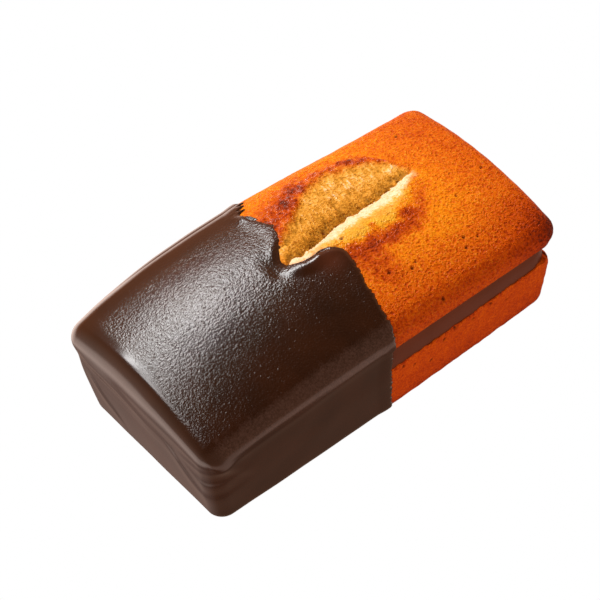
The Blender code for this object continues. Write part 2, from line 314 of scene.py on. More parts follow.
def block(
    points, inset, corner_radius=CORNER_RADIUS, side_inset=None, bend=0.0, burst_share=1.0, wander=None
):
    """Points on a sharp box, moved onto the baked block. inset gives by height how far in its ends stand, and
    its sides too without a side_inset. bend gives how far from the coat's edge the points follow it,
    burst_share how much of the burst shows, and wander how far its torn edge strays by x."""
    x, y, z = rounded(points, corner_radius).T
    if bend:
        x = x + coat_edge(y, z) * np.clip(1.0 - (x / bend) ** 2, 0.0, 1.0) ** 2
    along, across = side_shares(x, y)
    height = np.clip((z - BASE_TOP) / (RIM_HEIGHT - BASE_TOP), 0.0, 1.0)
    rim_swell = np.where(y < 0.0, FRONT_SWELL, BACK_SWELL) * hump(along, SWELL_LEAN)
    swell = BASE_SWELL * hump(along) * (1.0 - height) + rim_swell * height
    x = x - along * inset(z) + along * END_SWELL * height * hump(across)
    y = y - across * (side_inset or inset)(z) + across * swell
    lift = np.clip((z - CAKE_CUT) / (RIM_HEIGHT - CAKE_CUT), 0.0, 1.0)
    arch = np.clip((z - BASE_TOP) / (CAKE_CUT - BASE_TOP), 0.0, 1.0) * (1.0 - lift)
    on_top = ease(RIM_HEIGHT - SHOULDER_DROP, RIM_HEIGHT, z)
    opened = burst(x, y, 0.0 if wander is None else wander(x))
    rise = lift * crown(x, y) + arch * CUT_ARCH * hump(along, ARCH_LEAN) + on_top * burst_share * opened
    return np.column_stack((x, y, z + rise))


def leaned(x, y):
    """y with the coat's nose leaning back over the notch, for a place near the coat's edge."""
    near_nose = bell(y, NOSE_SIDE, 0.0013) * bell(x, 0.0002, 0.0026)
    return y + NOSE_LEAN * (x - 0.0004) * near_nose


def off_edge(points):
    """How far points of the top lie from the coat's edge, in plan."""
    line = np.linspace(-HALF[1], HALF[1], 900)
    x = edge_on_top(line)
    outline = np.column_stack((x, leaned(x, line)))
    far = np.full(len(points), 0.01)
    near = np.flatnonzero(np.abs(points[:, 0]) < 0.011)
    for some in np.array_split(near, 40):
        gaps = points[some, None, :2] - outline[None]
        far[some] = np.sqrt((gaps**2).sum(axis=2).min(axis=1))
    return far


def torn(x):
    """How far the burst's torn edge wanders from its line, by x."""
    line = np.column_stack((x, np.zeros(len(x)), np.zeros(len(x))))
    return 0.00045 * grain(line, 0.0017, 41) + 0.00030 * grain(line, 0.0006, 42)


def uncovered(points, box):
    """0 under the coat and 1 outside it, by place."""
    off = points[:, 0] - coat_edge(box[:, 1], box[:, 2])
    on_top = box[:, 2] > RIM_HEIGHT - 0.0001
    off = np.where(on_top, np.sign(off) * np.minimum(np.abs(off), off_edge(points)), off)
    return ease(-0.0016, -0.0007, off)


# Surface detail: noise in the block's own space

def grain(points, size, seed=0):
    """Soft noise from about -1 to 1 with bumps about size across."""
    shift = 7.3 * seed
    return np.array([noise.noise((x + shift, y, z)) for x, y, z in (points / size).tolist()])


def worms(points, size, seed=0):
    """Rounded crests from 0 to 1, with thin worm-like tops about size apart."""
    return 1.0 - np.clip(np.abs(grain(points, size, seed)) * 2.5, 0.0, 1.0)


def spots(first, second, places):
    """1 at each (place, place, radius), fading to 0 at its radius."""
    shade = np.zeros(len(first))
    for at_first, at_second, radius in places:
        off = np.hypot(first - at_first, second - at_second)
        shade = np.maximum(shade, 1.0 - ease(0.25 * radius, radius, off))
    return shade


# Mesh building

def spaced(low, high, step):
    """Even places from low to high, about a step apart."""
    return list(np.linspace(low, high, max(2, round((high - low) / step) + 1)))


def box_grid(xs, ys, zs, left_out=(), plain=()):
    """The corners and the outward faces of a box cut at xs, ys and zs. left_out names the faces it lacks, and
    plain the top or bottom that is made of strips right across."""
    last_x, last_y, last_z = len(xs) - 1, len(ys) - 1, len(zs) - 1
    along_x, along_y, along_z = np.arange(last_x + 1), np.arange(last_y + 1), np.arange(last_z + 1)
    sides = {
        "top": (along_x, along_y, lambda a, b: (a, b, last_z)),
        "bottom": (along_y, along_x, lambda a, b: (b, a, 0)),
        "right": (along_y, along_z, lambda a, b: (last_x, a, b)),
        "left": (along_z, along_y, lambda a, b: (0, b, a)),
        "back": (along_z, along_x, lambda a, b: (b, last_y, a)),
        "front": (along_x, along_z, lambda a, b: (a, 0, b)),
    }

    def number(i, j, k):
        return (i * (last_y + 1) + j) * (last_z + 1) + k

    faces = []
    for name, (first, second, at) in sides.items():
        if name in left_out or name in plain:
            continue
        a, b = np.meshgrid(first, second, indexing="ij")
        numbers = number(*at(a, b)) + np.zeros_like(a)
        corners = (numbers[:-1, :-1], numbers[1:, :-1], numbers[1:, 1:], numbers[:-1, 1:])
        faces.extend(np.stack(corners, axis=-1).reshape(-1, 4).tolist())
    if "top" in plain:
        faces.extend(strips(number, last_x, last_y, last_z))
    if "bottom" in plain:
        faces.extend(strip[::-1] for strip in strips(number, last_x, last_y, 0))
    used = sorted({corner for face in faces for corner in face})
    place_of = {corner: place for place, corner in enumerate(used)}
    used = np.array(used)
    points = np.column_stack(
        (
            np.array(xs)[used // ((last_y + 1) * (last_z + 1))],
            np.array(ys)[used // (last_z + 1) % (last_y + 1)],
            np.array(zs)[used % (last_z + 1)],
        )
    )
    return points, [[place_of[corner] for corner in face] for face in faces]


def strips(number, last_x, last_y, k):
    """Upward faces that span the level k from front to back, with one larger face at either end."""
    made = [[number(i, 0, k), number(i + 1, 0, k), number(i + 1, last_y, k), number(i, last_y, k)]
            for i in range(1, last_x - 1)]
    left_end = [number(0, j, k) for j in range(last_y, 0, -1)]
    right_end = [number(last_x, j, k) for j in range(last_y + 1)]
    made.append([number(0, 0, k), number(1, 0, k), number(1, last_y, k)] + left_end)
    made.append([number(last_x - 1, 0, k)] + right_end + [number(last_x - 1, last_y, k)])
    return made


def outward(points, faces):
    """The outward direction at each point of the surface."""
    mesh = bpy.data.meshes.new("draft")
    mesh.from_pydata(points.tolist(), [], faces)
    normals = np.empty(len(points) * 3, np.float32)
    mesh.vertex_normals.foreach_get("vector", normals)
    bpy.data.meshes.remove(mesh)
    return normals.reshape(-1, 3).astype(float)


def piece_of(name, points, faces, node, slot, look, **marks):
    """The finished piece that stands for the CAD node; marks are values that its material reads."""
    low, high = (np.array(corner) for corner in cad_box)
    points = np.clip(points + BLOCK_MIDDLE, low - BOX_SLACK, high + BOX_SLACK)
    points[:, 2] = np.maximum(points[:, 2], 0.0)
    mesh = bpy.data.meshes.new(name)
    mesh.from_pydata(points.tolist(), [], faces)
    for mark, values in marks.items():
        mesh.attributes.new(mark, "FLOAT", "POINT").data.foreach_set("value", values.astype(np.float32))
    mesh.shade_smooth()
    mesh.materials.append(look)
    piece = bpy.data.objects.new(name, mesh)
    bpy.context.scene.collection.objects.link(piece)
    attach(piece, "root")
    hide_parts(node)
    return piece


# Materials

def add(tree, kind, inputs=(), **settings):
    """A new node with its settings, and each input set to a value or linked to a socket."""
    made = tree.nodes.new(kind)
    for name, value in settings.items():
        setattr(made, name, value)
    for name, value in dict(inputs).items():
        if isinstance(value, bpy.types.NodeSocket):
            tree.links.new(value, made.inputs[name])
        else:
            made.inputs[name].default_value = value
    return made


def look_of(name, **values):
    """A new material, its node tree and its shader, with the shader's own values set."""
    look = bpy.data.materials.new(name)
    look.use_nodes = True
    shader = look.node_tree.nodes["Principled BSDF"]
    for socket, value in values.items():
        shader.inputs[socket.replace("_", " ")].default_value = value
    return look, look.node_tree, shader


def noise_at(tree, size, detail=2.0, roughness=0.5):
    """Noise of about that size in the object's own space, from 0 to 1."""
    place = add(tree, "ShaderNodeTexCoord").outputs["Object"]
    settings = {"Vector": place, "Scale": 1.0 / size, "Detail": detail, "Roughness": roughness}
    return add(tree, "ShaderNodeTexNoise", settings).outputs[0]


def cells_at(tree, size, feature="F1", smoothness=0.0):
    """Cells of about that size in the object's own space."""
    place = add(tree, "ShaderNodeTexCoord").outputs["Object"]
    settings = {"Vector": place, "Scale": 1.0 / size}
    if feature == "SMOOTH_F1":
        settings["Smoothness"] = smoothness
    return add(tree, "ShaderNodeTexVoronoi", settings, feature=feature).outputs["Distance"]


def eased(tree, value, low, high, top=1.0):
    """0 below low and top above high, with a smooth turn between them."""
    settings = {"Value": value, "From Min": low, "From Max": high, "To Min": 0.0, "To Max": top}
    return add(tree, "ShaderNodeMapRange", settings, interpolation_type="SMOOTHSTEP").outputs["Result"]


def crests_at(tree, size):
    """Worm-like crests of about that size in the object's own space, from 0 to 1."""
    off = add(tree, "ShaderNodeMath", {0: noise_at(tree, size, 1.0), 1: 0.5}, operation="SUBTRACT").outputs[0]
    away = add(tree, "ShaderNodeMath", {0: off}, operation="ABSOLUTE").outputs[0]
    return add(tree, "ShaderNodeMath", {0: away, 1: -5.0, 2: 1.0}, operation="MULTIPLY_ADD").outputs[0]


def mark_at(tree, name):
    """A value that the mesh carries."""
    return add(tree, "ShaderNodeAttribute", attribute_name=name).outputs["Fac"]


def sum_of(tree, first, second, factor=1.0, shift=0.0):
    """first + (second + shift) * factor."""
    scaled = add(tree, "ShaderNodeMath", {0: second, 1: shift}, operation="ADD").outputs[0]
    settings = {0: scaled, 1: factor, 2: first}
    return add(tree, "ShaderNodeMath", settings, operation="MULTIPLY_ADD").outputs[0]


def product_of(tree, first, second):
    """first * second."""
    return add(tree, "ShaderNodeMath", {0: first, 1: second}, operation="MULTIPLY").outputs[0]


def ramp_of(tree, factor, stops):
    """A colour along (place, colour) stops."""
    node = add(tree, "ShaderNodeValToRGB", {"Fac": factor})
    elements = node.color_ramp.elements
    while len(elements) < len(stops):
        elements.new(0.5)
    for element, (place, color) in zip(elements, stops):
        element.position = place
        element.color = (*color, 1.0)
    return node.outputs["Color"]


def mixed(tree, factor, first, second):
    """first where the factor is 0, and second where it is 1."""
    node = add(tree, "ShaderNodeMix", data_type="RGBA")
    for slot_number, value in ((0, factor), (6, first), (7, second)):
        if isinstance(value, bpy.types.NodeSocket):
            tree.links.new(value, node.inputs[slot_number])
        elif slot_number:
            node.inputs[slot_number].default_value = (*value, 1.0)
        else:
            node.inputs[slot_number].default_value = value
    return node.outputs[2]


def bump_of(tree, height, distance, strength=1.0, below=None):
    """The surface direction over a height that stands for distance metres."""
    inputs = {"Height": height, "Distance": distance, "Strength": strength}
    if below is not None:
        inputs["Normal"] = below
    return add(tree, "ShaderNodeBump", inputs).outputs["Normal"]


# Colours along a baked crust from pale to burnt, along the open crumb from its depth, darkened partly as
# painted shade, to its pale wall, and along the unevenness of the cream and of the dark chocolate
BAKED = (
    (0.00, (0.82, 0.42, 0.030)),
    (0.25, (0.77, 0.230, 0.003)),
    (0.45, (0.62, 0.120, 0.002)),
    (0.65, (0.46, 0.060, 0.001)),
    (0.82, (0.30, 0.030, 0.001)),
    (1.00, (0.12, 0.014, 0.003)),
)
CRUMB = (
    (0.00, (0.24, 0.095, 0.008)),
    (0.30, (0.46, 0.190, 0.016)),
    (0.55, (0.70, 0.300, 0.030)),
    (0.76, (0.83, 0.420, 0.085)),
    (1.00, (0.88, 0.67, 0.42)),
)
CREAM = ((0.3, (0.087, 0.0208, 0.0060)), (0.7, (0.101, 0.0245, 0.0080)))
DARK_CHOCOLATE = ((0.3, (0.018, 0.0054, 0.0014)), (0.7, (0.028, 0.0080, 0.0020)))
# Painted shade: the dark colours for the hollows of the crust's and the base's pores
CRUST_PORE_SHADE_COLOR = (0.14, 0.022, 0.004)
BASE_PORE_SHADE_COLOR = (0.08, 0.014, 0.004)
# The colour of the glints painted on the crust's crests
PAINTED_GLINT_COLOR = (0.88, 0.42, 0.025)
# The colour of the painted sheen on the coat's front shoulder
PAINTED_SHEEN_COLOR = (0.052, 0.026, 0.018)
# The colour of the warm reflection painted on the coat's nose
WARM_REFLECTION_COLOR = (0.062, 0.017, 0.007)


def crust_look():
    """Golden crust that darkens as it bakes, with glints painted as pale flecks on its crests, and the open
    crumb in the burst.
    """
    look, tree, shader = look_of("baked_crust", Roughness=0.5, Specular_IOR_Level=0.05, Coat_Roughness=0.22)
    crests = crests_at(tree, 0.00080)
    fine = noise_at(tree, 0.00055, 2.0)
    coarse = noise_at(tree, 0.0026, 3.0)
    tone = sum_of(tree, mark_at(tree, "bake"), crests, -0.16, -0.5)
    tone = sum_of(tree, tone, fine, 0.30, -0.5)
    tone = sum_of(tree, tone, coarse, 0.21, -0.5)
    crust = ramp_of(tree, tone, BAKED)
    # Painted highlight: pale flecks on the highest crests stand for small glints
    painted_glints = eased(tree, sum_of(tree, crests, fine, 1.8, -0.5), 0.85, 1.20, 0.45)
    painted_glints = product_of(tree, painted_glints, eased(tree, mark_at(tree, "bake"), 0.80, 0.40))
    crust = mixed(tree, painted_glints, crust, PAINTED_GLINT_COLOR)
    crumb_tone = sum_of(tree, mark_at(tree, "wall"), fine, 0.5, -0.5)
    crumb_tone = sum_of(tree, crumb_tone, crests, 0.20, -0.6)
    crumb = ramp_of(tree, crumb_tone, CRUMB)
    open_color = mixed(tree, mark_at(tree, "crumb"), crust, crumb)
    # Painted shade darkens the pores' hollows
    color = mixed(tree, mark_at(tree, "pore"), open_color, CRUST_PORE_SHADE_COLOR)
    tree.links.new(color, shader.inputs["Base Color"])
    relief = sum_of(tree, product_of(tree, crests, 0.6), fine, 1.0)
    tree.links.new(bump_of(tree, relief, 0.00022), shader.inputs["Normal"])
    tree.links.new(bump_of(tree, relief, 0.00030), shader.inputs["Coat Normal"])
    tree.links.new(mark_at(tree, "glaze"), shader.inputs["Coat Weight"])
    return look


def base_look():
    """The baked side of the lower layer."""
    look, tree, shader = look_of("baked_side", Roughness=0.6, Specular_IOR_Level=0.06)
    fine = noise_at(tree, 0.00040, 3.0)
    coarse = noise_at(tree, 0.003, 3.0)
    tone = sum_of(tree, mark_at(tree, "bake"), fine, 0.60, -0.5)
    tone = sum_of(tree, tone, coarse, 0.26, -0.5)
    baked = ramp_of(tree, tone, BAKED)
    # Painted shade darkens the pores' hollows
    color = mixed(tree, mark_at(tree, "pore"), baked, BASE_PORE_SHADE_COLOR)
    tree.links.new(color, shader.inputs["Base Color"])
    tree.links.new(bump_of(tree, fine, 0.00012), shader.inputs["Normal"])
    return look


def filling_look():
    """Satin milk chocolate cream."""
    look, tree, shader = look_of("chocolate_cream", Roughness=0.42, Specular_IOR_Level=0.2)
    soft = noise_at(tree, 0.006, 2.0)
    color = ramp_of(tree, soft, CREAM)
    tree.links.new(color, shader.inputs["Base Color"])
    tree.links.new(bump_of(tree, noise_at(tree, 0.0025), 0.00005), shader.inputs["Normal"])
    return look


def coat_look():
    """Dark chocolate: fine grainy gloss on the dome and a smooth satin on the sides."""
    look, tree, shader = look_of("dark_chocolate")
    pebbly = mark_at(tree, "pebbly")
    tree.links.new(eased(tree, pebbly, -2.0, 1.0, 0.23), shader.inputs["Roughness"])
    soft = noise_at(tree, 0.008, 3.0)
    color = ramp_of(tree, soft, DARK_CHOCOLATE)
    # Painted sheen: a patchy paler haze on the front shoulder
    hazy = product_of(tree, mark_at(tree, "painted_sheen"), eased(tree, noise_at(tree, 0.0004, 3.0), 0.25, 0.75))
    color = mixed(tree, hazy, color, PAINTED_SHEEN_COLOR)
    # Painted reflection: the lump on the nose is tinted warm, as if reflecting the crust
    color = mixed(tree, mark_at(tree, "painted_reflection"), color, WARM_REFLECTION_COLOR)
    tree.links.new(color, shader.inputs["Base Color"])
    pebbles = cells_at(tree, 0.00046, "SMOOTH_F1", 0.3)
    peel = noise_at(tree, 0.00026, 1.0, 0.5)
    pimples = eased(tree, cells_at(tree, 0.00075), 0.26, 0.04, 0.5)
    height = sum_of(tree, sum_of(tree, peel, pebbles, -0.7), pimples)
    tree.links.new(bump_of(tree, product_of(tree, height, pebbly), 0.00005), shader.inputs["Normal"])
    return look


# Pieces

# Pores in the crust by x, y and radius, and in the base's front by x, z and radius; each is dented and
# painted dark with shade
CRUST_PORES = (
    (0.0060, -0.0016, 0.00050),
    (0.0125, -0.0140, 0.00050),
    (0.0083, -0.0124, 0.00050),
    (0.0238, -0.0160, 0.00042),
    (0.0249, -0.0140, 0.00042),
    (0.0272, -0.0152, 0.00034),
    (0.0385, -0.0032, 0.00045),
    (0.0325, 0.0147, 0.00045),
    (0.0137, -0.0212, 0.00045),
    (0.0139, -0.0133, 0.00034),
    (0.0112, -0.0060, 0.00030),
    (0.0062, 0.0042, 0.00045),
    (0.0300, -0.0060, 0.00034),
)
BASE_PORES = (
    (0.0133, 0.0118, 0.00055),
    (0.0033, 0.0124, 0.00050),
    (0.0160, 0.0130, 0.00050),
    (0.0249, 0.0128, 0.00045),
    (0.0102, 0.0081, 0.00050),
    (0.0060, 0.0106, 0.00040),
    (0.0205, 0.0120, 0.00040),
    (0.0290, 0.0105, 0.00040),
)
# Darker spots on the burst's lip and its back ridge, by x, y and radius
BURNT_SPOTS = (
    (0.0203, -0.0024, 0.0034),
    (0.0080, -0.0110, 0.0050),
    (0.0092, 0.0158, 0.0024),
    (0.0050, 0.0130, 0.0026),
    (0.0205, 0.0152, 0.0022),
    (0.0232, 0.0138, 0.0018),
)

# How wide the broken crust behind the burst is, by x
ridge_width = curve_through(
    (
        (-0.0010, 0.0062),
        (0.0040, 0.0056),
        (0.0080, 0.0040),
        (0.0120, 0.0024),
        (0.0180, 0.0018),
        (0.0270, 0.0012),
    )
)


def bake_of(points):
    """How dark the crust has baked, from 0 to 1, by place, with the back strip made lighter as a painted
    sheen.
    """
    x, y, z = points.T
    along, across = x / HALF[0], y / HALF[1]
    near_burst = np.exp(-(((x - 0.017) / 0.017) ** 2) - (((y + 0.003) / 0.011) ** 2))
    bake = 0.46 - 0.20 * near_burst
    bake += 0.16 * ease(0.55, 1.0, along)
    bake += 0.20 * ease(0.35, 1.0, -across)
    bake += 0.24 * ease(0.80, 1.02, along) * ease(0.50, 1.0, -across)
    # Painted sheen: lighter along the back strip, away from the bare end
    bake -= 0.06 * ease(0.5, 1.0, across) * (1.0 - ease(0.4, 0.9, along))
    return bake


def sideways(normals):
    """The directions without their height, at full length."""
    flat = normals * (1.0, 1.0, 0.0)
    return flat / np.maximum(np.linalg.norm(flat, axis=1, keepdims=True), 1e-9)


def cake_top():
    """The upper layer: the crust with its burst, its crumb and its pores."""
    xs = spaced(-HALF[0], HIDDEN_TO, HIDDEN_STEP) + spaced(HIDDEN_TO + 0.0008, HALF[0], CRUST_STEP)
    ys = spaced(-HALF[1], HALF[1], CRUST_STEP)
    zs = spaced(CAKE_CUT, RIM_HEIGHT, 0.00022)
    box, faces = box_grid(xs, ys, zs, plain=("bottom",))
    points = block(box, cake_inset, wander=torn)
    normals = outward(points, faces)
    cut = box[:, 2] == CAKE_CUT
    normals = np.where(cut[:, None], sideways(normals), normals)
    x, y, z = points.T
    on_top = ease(RIM_HEIGHT - SHOULDER_DROP, RIM_HEIGHT, box[:, 2])
    open_share = burst_depth(x) / DEEPEST
    off_line = y - burst_line(x) - torn(x)
    wander = 0.0010 * grain(points, 0.0024, 1) + 0.0005 * grain(points, 0.0009, 2)
    to_ridge = burst_back(x) - (y - burst_line(x)) + wander
    to_lip = off_line + burst_front(x) + 1.6 * wander
    opened = ease(0.05, 0.30, open_share) * on_top
    behind = np.where(off_line > 0.0, 1.0, 0.0)
    crumb_behind = ease(-0.0002, 0.0020, to_ridge) * behind
    crumb_before = ease(-0.0012, 0.0018, to_lip) * (1.0 - behind)
    crumb = (crumb_behind + crumb_before) * opened
    back_share = np.clip(off_line / burst_back(x), 0.0, 1.0)
    streaks = grain(points * (1.0, 0.35, 0.35), 0.00050, 8)
    # Painted shade: the back slope's crumb is darker down by the crack and towards the burst's left end, over
    # its own olive-to-pale tone
    shade = 0.11 + 0.40 * ease(0.05, 0.50, back_share) - 0.18 * ease(0.60, 1.0, back_share)
    shade += 0.15 * ease(0.004, 0.016, x) + 0.20 * grain(points, 0.0022, 10)
    wall = np.where(off_line > 0.0, shade, 1.00 - 0.46 * ease(0.0022, 0.0058, -off_line))
    wall += 0.22 * streaks * behind + 0.10 * streaks
    bake = bake_of(points)
    ridge = ease(-1.0, -0.10, -np.abs(to_ridge + 0.45 * ridge_width(x)) / (1.15 * ridge_width(x)))
    ridge *= 1.0 - crumb_behind
    ridge *= ease(0.10, 0.45, open_share) * on_top * behind
    broken = grain(points, 0.0011, 7)
    bake += ridge * (0.22 + 0.22 * broken)
    bake += 0.12 * bell(to_ridge, -0.0040, 0.0032) * ease(0.016, 0.004, x) * on_top * behind
    bake += 0.22 * spots(x, y, BURNT_SPOTS) * (1.0 + 0.8 * grain(points, 0.0009, 9))
    bake += 0.50 * bell(to_lip, -0.0042, 0.0026) * open_share * on_top
    glaze = 0.05 + 0.8 * ridge + 0.5 * bell(to_lip, -0.0016, 0.0026) * open_share * on_top
    glaze = np.clip(glaze * ease(0.45, 0.80, worms(points, 0.0011, 12)), 0.0, 1.0)
    bake -= 0.34 * bell(to_lip, -0.0004, 0.0018) * open_share * on_top * (1.0 - behind)
    pore = spots(x, y, CRUST_PORES) * on_top
    relief = 0.00008 * grain(points, 0.0030, 3)
    relief += 0.00005 * worms(points, 0.00050, 4) * (1.0 - crumb)
    torn_crumb = 0.00022 * grain(points * (1.0, 0.6, 0.6), 0.0013, 5) + 0.00016 * streaks
    relief += crumb_behind * opened * torn_crumb
    relief += crumb_before * opened * 0.00010 * grain(points, 0.0008, 6)
    relief += ridge * (0.00016 + 0.00034 * broken)
    relief -= 0.00012 + 0.00035 * pore
    shown = uncovered(points, box)
    relief = np.where(cut, -0.00005, relief) * shown - UNDER_COAT * (1.0 - shown)
    points = points + normals * relief[:, None]
    marks = {"bake": bake, "crumb": crumb, "wall": wall, "pore": pore, "glaze": glaze}
    piece_of("crust", points, faces, "cake_top", "baked_crust", crust_look(), **marks)


def filling():
    """The cream between the layers."""
    xs = spaced(-HALF[0], HIDDEN_TO, HIDDEN_STEP) + spaced(HIDDEN_TO + 0.0008, HALF[0], FILLING_STEP)
    ys = spaced(-HALF[1], HALF[1], FILLING_STEP)
    zs = spaced(BASE_TOP - 0.0003, CAKE_CUT + 0.0003, FILLING_STEP)
    box, faces = box_grid(xs, ys, zs, plain=("top", "bottom"))
    points = block(box, filling_inset, FILLING_CORNER_RADIUS)
    normals = sideways(outward(points, faces))
    shown = uncovered(points, box)
    relief = 0.00008 * grain(points, 0.005, 11) * shown - UNDER_COAT * (1.0 - shown)
    points = points + normals * relief[:, None]
    piece_of("cream", points, faces, "filling", "chocolate_cream", filling_look())


def cake_base():
    """The lower layer, with a crumbly upper edge that rounds off at the bare end."""
    xs = spaced(-HALF[0], HIDDEN_TO, HIDDEN_STEP) + spaced(HIDDEN_TO + 0.0008, HALF[0], BASE_STEP)
    ys = spaced(-HALF[1], HALF[1], BASE_STEP)
    zs = spaced(0.0, BASE_TOP, BASE_STEP)
    box, faces = box_grid(xs, ys, zs, plain=("top", "bottom"))
    points = block(box, cake_inset)
    normals = sideways(outward(points, faces))
    x, y, z = points.T
    off_end = np.clip((x - (x.max() - BASE_END_ROUND)) / BASE_END_ROUND, 0.0, 1.0)
    off_top = np.clip((z - (BASE_TOP - BASE_END_ROUND)) / BASE_END_ROUND, 0.0, 1.0)
    shrink = np.maximum(off_end, off_top) / np.maximum(np.hypot(off_end, off_top), 1e-6)
    rounded_off = (off_end > 0.0) & (off_top > 0.0)
    x = np.where(rounded_off, x - BASE_END_ROUND * off_end * (1.0 - shrink), x)
    z = np.where(rounded_off, z - BASE_END_ROUND * off_top * (1.0 - shrink), z)
    points = np.column_stack((x, y, z))
    share = z / BASE_TOP
    bake = 0.70 - 0.08 * ease(0.2, 0.9, share) + 0.16 * (1.0 - ease(0.0, 0.35, share))
    near_cut = ease(BASE_TOP - 0.0010, BASE_TOP - 0.0001, box[:, 2])
    pore = spots(x, z, BASE_PORES) * np.where(y < 0.0, 1.0, 0.0)
    relief = 0.00010 * grain(points, 0.0035, 21) + 0.00007 * grain(points, 0.0011, 22)
    crumbs = np.abs(grain(points * (1.0, 1.0, 0.3), 0.0010, 23)) + 0.6 * np.abs(grain(points, 0.0005, 24))
    relief -= near_cut * 0.00045 * crumbs
    bake += 0.5 * near_cut * (crumbs - 0.3)
    relief -= 0.00010 + 0.00040 * pore
    shown = uncovered(points, box)
    relief = relief * shown - UNDER_COAT * (1.0 - shown)
    points = points + normals * relief[:, None]
    ragged_top = near_cut * 0.00035 * (grain(points * (1.0, 1.0, 0.0), 0.0012, 25) - 0.35)
    points[:, 2] += ragged_top * ease(0.9, 1.0, box[:, 2] / BASE_TOP) * shown
    piece_of("base", points, faces, "cake_base", "baked_side", base_look(), bake=bake, pore=pore)


# Soft ridges on the coat's sides, by height: the creases by y on the end, and the upper one by x on the front
crease_on_end = curve_through(
    (
        (-0.0215, 0.0096),
        (-0.0175, 0.0090),
        (-0.0142, 0.0106),
        (-0.0115, 0.0132),
        (-0.0093, 0.0153),
        (-0.0016, 0.0170),
        (0.0065, 0.0196),
        (0.0160, 0.0192),
    )
)
upper_ring_on_end = curve_through(
    ((-0.0215, 0.0186), (-0.0180, 0.0180), (-0.0150, 0.0176), (-0.0100, 0.0160))
)
middle_ring_on_end = curve_through(
    ((-0.0215, 0.0144), (-0.0190, 0.0138), (-0.0161, 0.0141), (-0.0120, 0.0158))
)
crease_on_front = curve_through(
    (
        (-0.0420, 0.0187),
        (-0.0370, 0.0196),
        (-0.0310, 0.0201),
        (-0.0232, 0.0206),
        (-0.0103, 0.0217),
        (0.0010, 0.0216),
    )
)
fold_on_end = curve_through(
    ((0.0070, 0.0040), (0.0094, 0.0068), (0.0130, 0.0101), (0.0148, 0.0128), (0.0175, 0.0150))
)
# How far the creases stand out: on the end, on the front, and as rings round the corner and the fold
END_CREASE = 0.00030
FRONT_CREASE = 0.00009
RING = 0.00028


def crest(at, level, above):
    """A ridge that rises within the distance above its level and falls away gently below it."""
    return np.where(at > level, bell(at, level, above), bell(at, level, 2.6 * above))


def coat_ridges(points):
    """How far the soft ridges stand out from the coat's sides."""
    x, y, z = points.T
    turn = ease(-HALF[0] + 0.0002, -HALF[0] + 0.0036, x)
    at_corner = np.exp(-((np.hypot(x + HALF[0], y + HALF[1]) / 0.0062) ** 2)) * np.where(y < 0.0, 1.0, 0.0)
    on_end = (1.0 - turn) * ease(0.0180, 0.0140, y)
    on_front = np.where(y < 0.0, turn, 0.0)
    ridge = END_CREASE * crest(z, crease_on_end(y), 0.00115) * np.maximum(on_end, at_corner)
    ridge += FRONT_CREASE * crest(z, crease_on_front(x), 0.00050) * on_front
    upper = upper_ring_on_end(y) * (1.0 - turn) + crease_on_front(x) * turn
    at_front = on_end * ease(-0.0095, -0.0140, y)
    ridge += RING * crest(z, upper, 0.00095) * np.maximum(at_corner, at_front)
    ridge += RING * crest(z, middle_ring_on_end(y), 0.00095) * at_corner
    ridge += RING * crest(z, fold_on_end(y), 0.00110) * on_end * ease(0.0070, 0.0100, y)
    return ridge


def jagged(box):
    """How far the coat is drawn out along x near its ragged edge."""
    edge = np.column_stack((np.zeros(len(box)), box[:, 1], box[:, 2]))
    wild = 1.0 + 0.8 * ease(-0.0060, -0.0090, box[:, 1])
    calm = 1.0 - 0.8 * bell(box[:, 1], -0.0022, 0.0030) - 0.8 * bell(box[:, 1], 0.0144, 0.0016)
    comb = np.abs((box[:, 1] - 0.0002 * grain(edge, 0.001, 35)) / TOOTH % 1.0 - 0.5) * 2.0
    comb *= ease(0.0162, 0.0172, box[:, 1]) * ease(0.0207, 0.0198, box[:, 1]) * ease(0.015, 0.021, box[:, 2])
    wander = 0.00026 * grain(edge, 0.0013, 31) + 0.00034 * grain(edge, 0.00050, 32) * wild
    return (wander * calm + TOOTH_LENGTH * comb) * (1.0 - ease(0.0, 0.0025, -box[:, 0]))


def coat_block(box):
    """The coat's outline: it fills over half of the burst's depth, but follows the burst near the coat's edge
    and at the back."""
    moved = box.copy()
    moved[:, 0] += jagged(box)
    share = 1.0 - 0.62 * ease(0.0001, 0.0016, -box[:, 0]) * ease(0.0130, 0.0105, box[:, 1])
    points = block(moved, coat_inset, side_inset=coat_side_inset, bend=EDGE_BEND, burst_share=share)
    points[:, 1] = leaned(points[:, 0], points[:, 1])
    return points


def in_from_edge(box, points):
    """How far in from the coat's edge its points lie, without the edge's raggedness."""
    on_top = box[:, 2] > RIM_HEIGHT - 0.0001
    smooth_edged = points - jagged(box)[:, None] * (1.0, 0.0, 0.0)
    to_edge = np.where(on_top, np.minimum(-box[:, 0], off_edge(smooth_edged)), -box[:, 0])
    return np.where(box[:, 0] == 0.0, 0.0, to_edge)


def lip_height(to_edge, nose):
    """How far the coat stands out: tucked in at its very edge, then a rounded lip that levels off."""
    share = np.clip(to_edge / (LIP_ROUND + NOSE_LIP_ROUND * nose), 0.0, 1.0)
    rounding = np.sqrt(1.0 - (1.0 - share) ** 2)
    lip = LIP_PROUD + NOSE_LIP_PROUD * nose
    proud = -LIP_TUCK + (lip + LIP_TUCK) * rounding
    return proud - (lip - COAT_PROUD) * ease(0.0010, 0.0040, to_edge)


